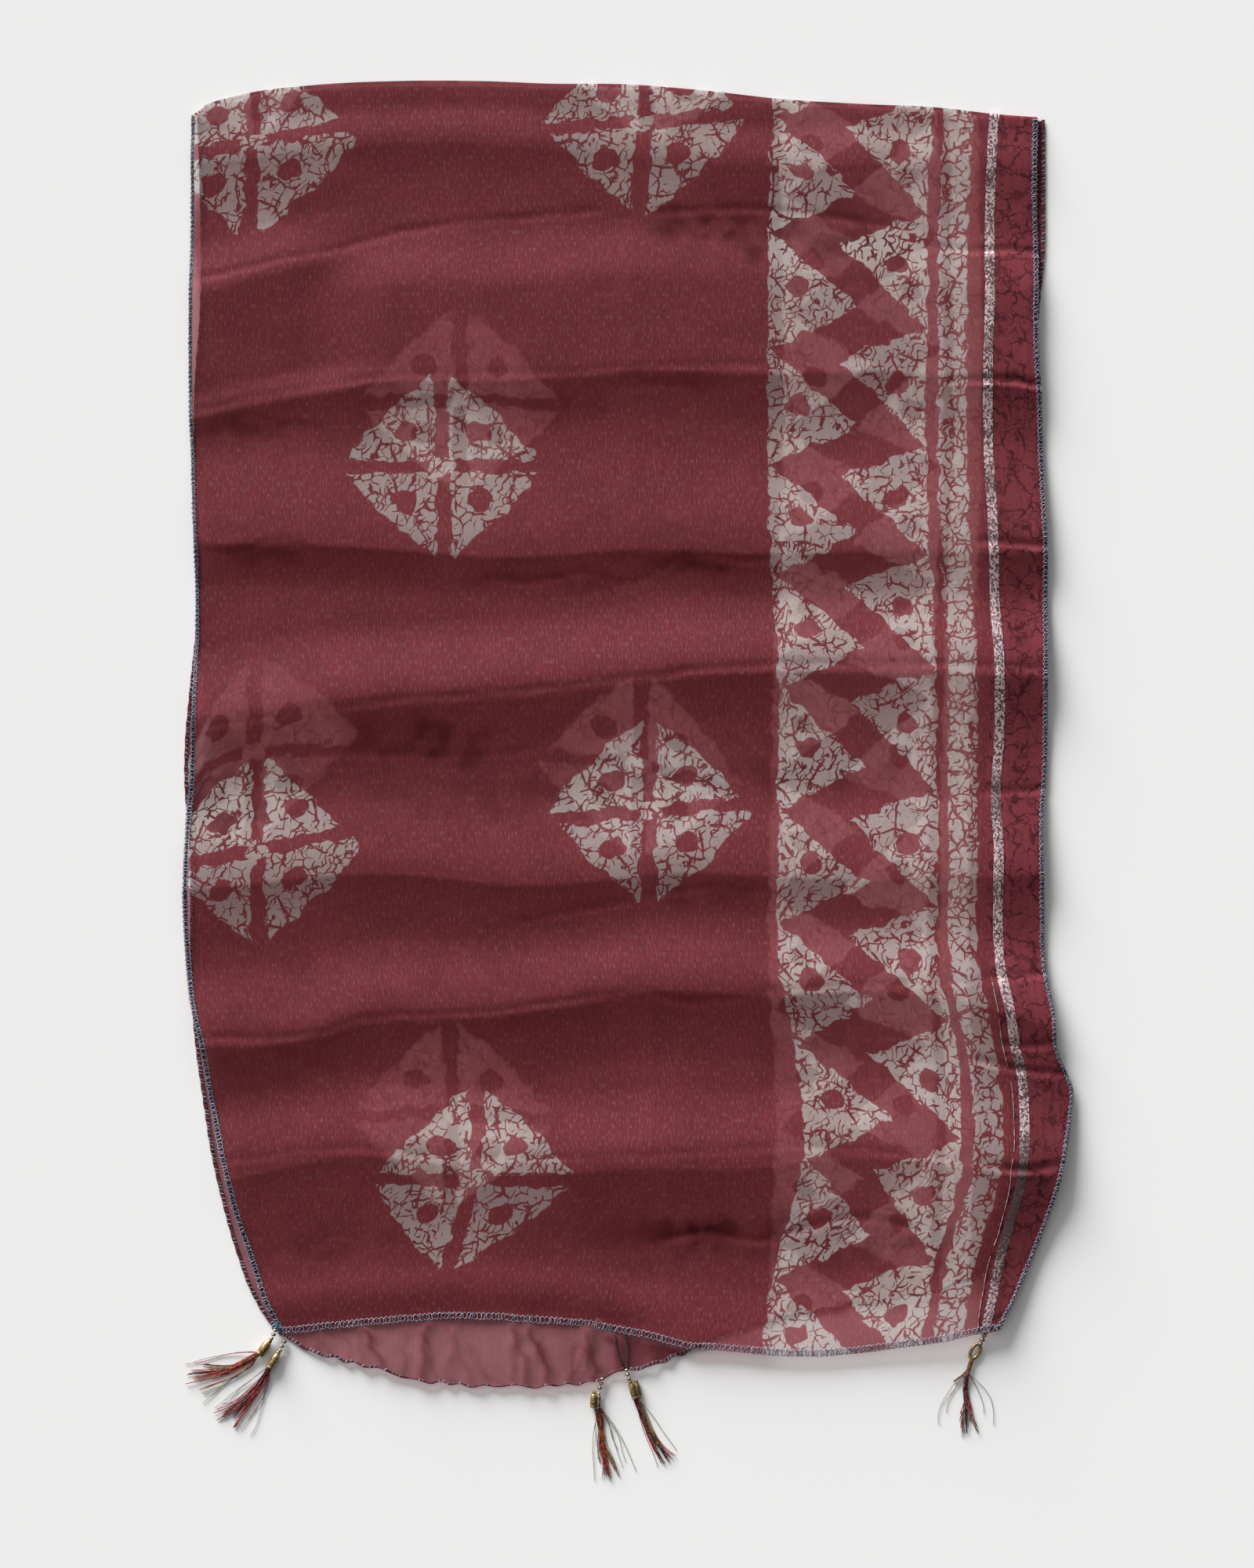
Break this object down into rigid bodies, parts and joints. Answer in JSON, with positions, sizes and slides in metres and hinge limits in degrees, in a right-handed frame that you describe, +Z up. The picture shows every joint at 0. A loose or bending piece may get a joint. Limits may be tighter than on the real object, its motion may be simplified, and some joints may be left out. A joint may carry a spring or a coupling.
{
  "type": "scarf",
  "caption": "Sheer printed stole folded once across and laid flat, with a metal ribbon and plain border down one edge, overlocked edges and short tassels at the hems.",
  "frame": {"origin": "centre of the footprint on the surface that the folded stole lies on, at the underside of the back layer", "axes": "+X to the viewer's right, +Y from the hems towards the fold, +Z up from the surface"},
  "size_m": [0.6244, 0.9852, 0.0076],
  "materials": {
    "sheer_cloth": "sheer plain-weave cloth, burgundy with a pale crackled print, see-through enough that the other layer's print ghosts through",
    "border_weave": "closer woven plain burgundy border with fine dark crackle veins",
    "metal_ribbon": "woven silver metallic ribbon, glittering",
    "cap_brass": "thin pressed gold-coloured brass, slightly tarnished",
    "bead_metal": "small pale gold and silver beads, polished",
    "tassel_thread": "loose silky threads in crimson, red-orange, olive, navy and grey",
    "loop_cord": "thin black twisted cord"
  },
  "bodies": {
    "root": {"cloth_front": "sheer_cloth", "cloth_fold": "sheer_cloth", "cloth_back": "sheer_cloth", "metal_ribbon": "metal_ribbon", "border_strip": "border_weave", "beads_front_left": "bead_metal", "beads_back_left": "bead_metal", "beads_back_middle": "bead_metal", "beads_front_middle": "bead_metal", "beads_front_right": "bead_metal", "cap_front_left": "cap_brass", "cap_back_left": "cap_brass", "cap_back_middle_a": "cap_brass", "cap_back_middle_b": "cap_brass", "cap_front_middle_a": "cap_brass", "cap_front_middle_b": "cap_brass", "cap_front_right": "cap_brass", "tuft_front_left": "tassel_thread", "tuft_back_left": "tassel_thread", "tuft_back_middle": "tassel_thread", "tuft_front_middle": "tassel_thread", "tuft_front_right": "tassel_thread", "loop_front_middle": "loop_cord"}
  },
  "joints": []
}
